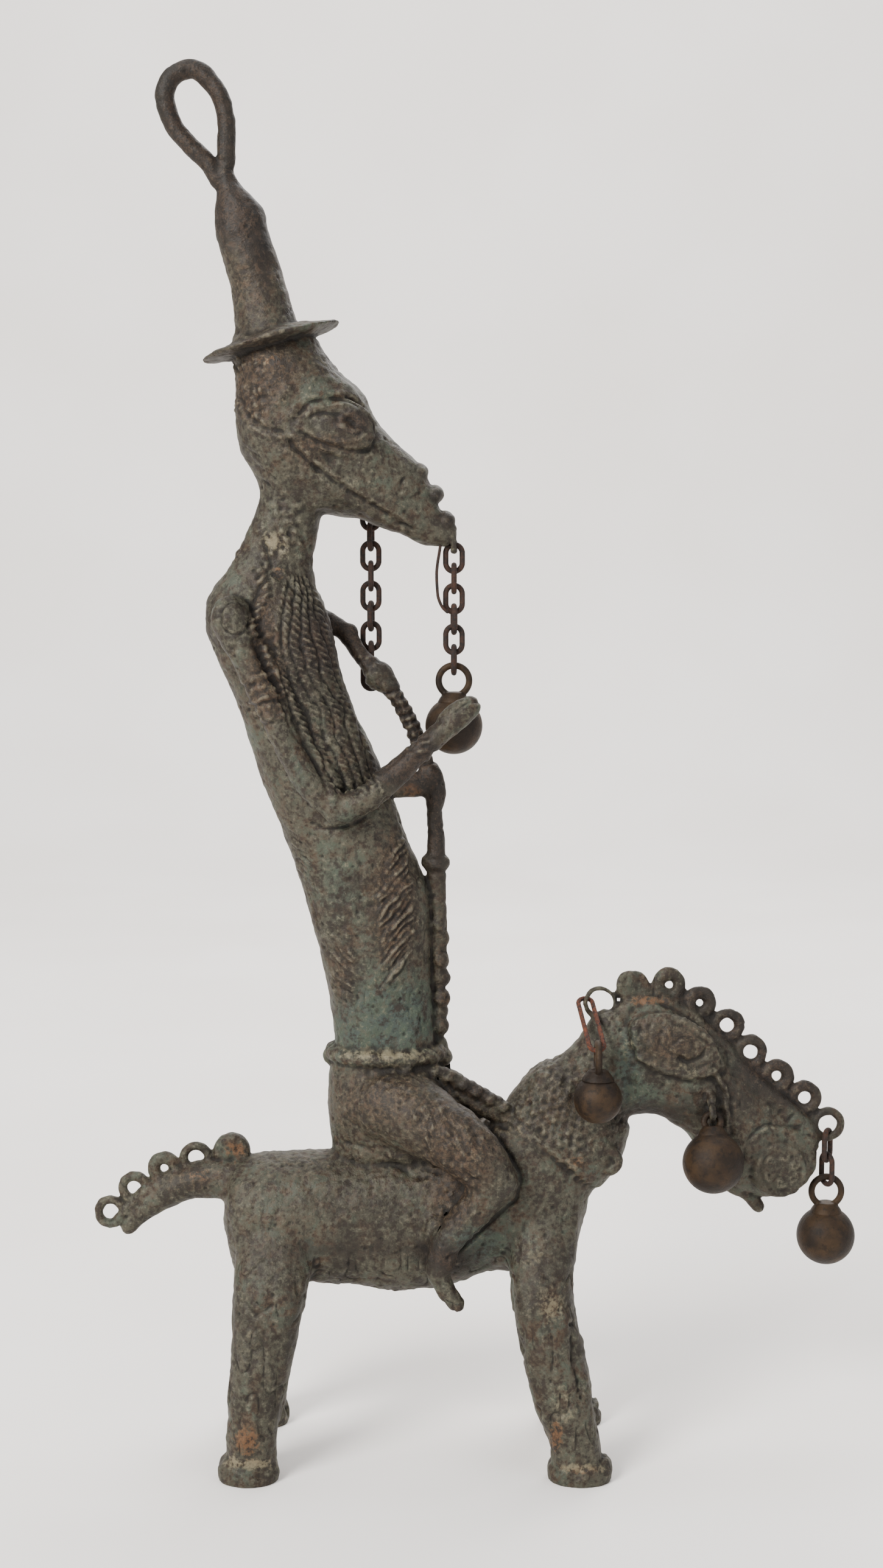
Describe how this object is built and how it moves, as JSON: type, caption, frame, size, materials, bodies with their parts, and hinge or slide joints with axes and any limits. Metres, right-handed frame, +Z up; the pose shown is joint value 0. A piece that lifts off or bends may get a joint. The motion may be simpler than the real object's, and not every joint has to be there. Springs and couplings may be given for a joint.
{
  "type": "equestrian statuette",
  "caption": "Cast bronze statuette of a tall masked rider in a brimmed cap on a small horse, hung with iron chain and round bells, standing on its own hooves.",
  "frame": {"origin": "on the ground below the middle of the statuette's box", "axes": "+X towards the horse's head, +Z up, +Y towards the far side"},
  "size_m": [0.3896, 0.102, 0.7],
  "materials": {
    "bronze_patina": "weathered grey-green and brown bronze patina, matt",
    "rusty_iron": "dark brown rust",
    "bell_bronze": "brown bronze patina"
  },
  "bodies": {
    "root": {"horse_and_rider": "bronze_patina", "far_chain_link_1": "rusty_iron", "far_chain_link_2": "rusty_iron", "far_chain_link_3": "rusty_iron", "far_chain_link_4": "rusty_iron", "far_chain_link_5": "rusty_iron", "far_chain_link_6": "rusty_iron", "far_chain_link_7": "rusty_iron", "far_chain_link_8": "rusty_iron", "far_chain_link_9": "rusty_iron", "chin_chain_link_1": "rusty_iron", "chin_chain_link_2": "rusty_iron", "chin_chain_link_3": "rusty_iron", "chin_chain_link_4": "rusty_iron", "chin_chain_link_5": "rusty_iron", "chin_chain_link_6": "rusty_iron", "chin_wire": "rusty_iron", "muzzle_link_1": "rusty_iron", "muzzle_link_2": "rusty_iron", "neck_link": "rusty_iron", "chin_bell": "bell_bronze", "muzzle_bell": "bell_bronze", "jaw_bell": "bell_bronze", "neck_bell": "bell_bronze"}
  },
  "joints": []
}
